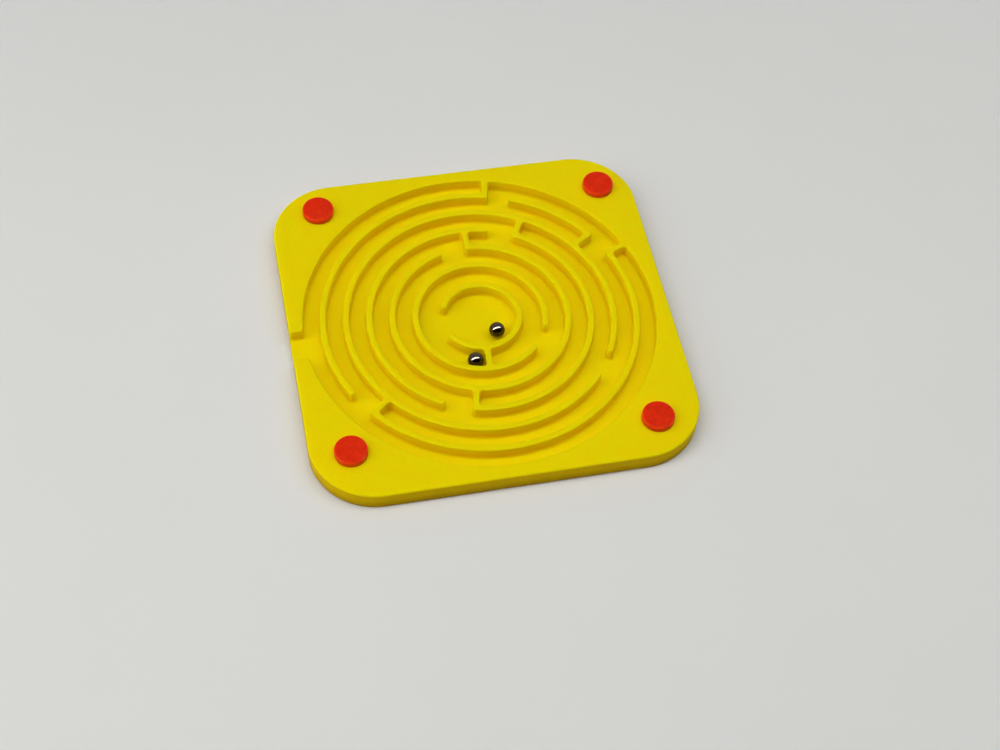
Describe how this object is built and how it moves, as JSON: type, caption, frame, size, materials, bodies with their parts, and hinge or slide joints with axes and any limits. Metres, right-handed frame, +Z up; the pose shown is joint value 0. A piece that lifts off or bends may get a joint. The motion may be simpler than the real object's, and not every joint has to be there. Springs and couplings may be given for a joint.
{
  "type": "ball maze puzzle",
  "caption": "Square printed tray with rounded corners and a round maze of concentric walls, an entry slot in its rim, push-in corner pins and loose steel balls to tilt into the middle.",
  "frame": {"origin": "middle of the underside of the tray", "axes": "+Z up out of the maze, -Y to the front and -X to the side with the entry slot"},
  "size_m": [0.0836, 0.0836, 0.006],
  "materials": {
    "yellow_print": "satin printed plastic with fine layer lines",
    "red_print": "satin printed plastic",
    "ball_steel": "polished bearing steel"
  },
  "bodies": {
    "tray": {"tray_base": "yellow_print", "outer_ring_wall": "yellow_print", "second_ring_wall": "yellow_print", "third_ring_wall": "yellow_print", "fourth_ring_wall": "yellow_print", "fifth_ring_wall": "yellow_print", "goal_ring_wall": "yellow_print", "pin_front_left": "red_print", "pin_front_right": "red_print", "pin_back_left": "red_print", "pin_back_right": "red_print"},
    "goal_ball": {"goal_ball": "ball_steel"},
    "corridor_ball": {"corridor_ball": "ball_steel"}
  },
  "joints": [
    {"name": "goal_ball_roll", "type": "hinge", "parent": "tray", "child": "goal_ball", "pos_m": [0, 0, 0.00327], "axis": [0, 0, 1], "continuous": true},
    {"name": "corridor_ball_roll", "type": "hinge", "parent": "tray", "child": "corridor_ball", "pos_m": [0, 0, 0.00327], "axis": [0, 0, 1], "range_deg": [-333, 1.5]}
  ]
}
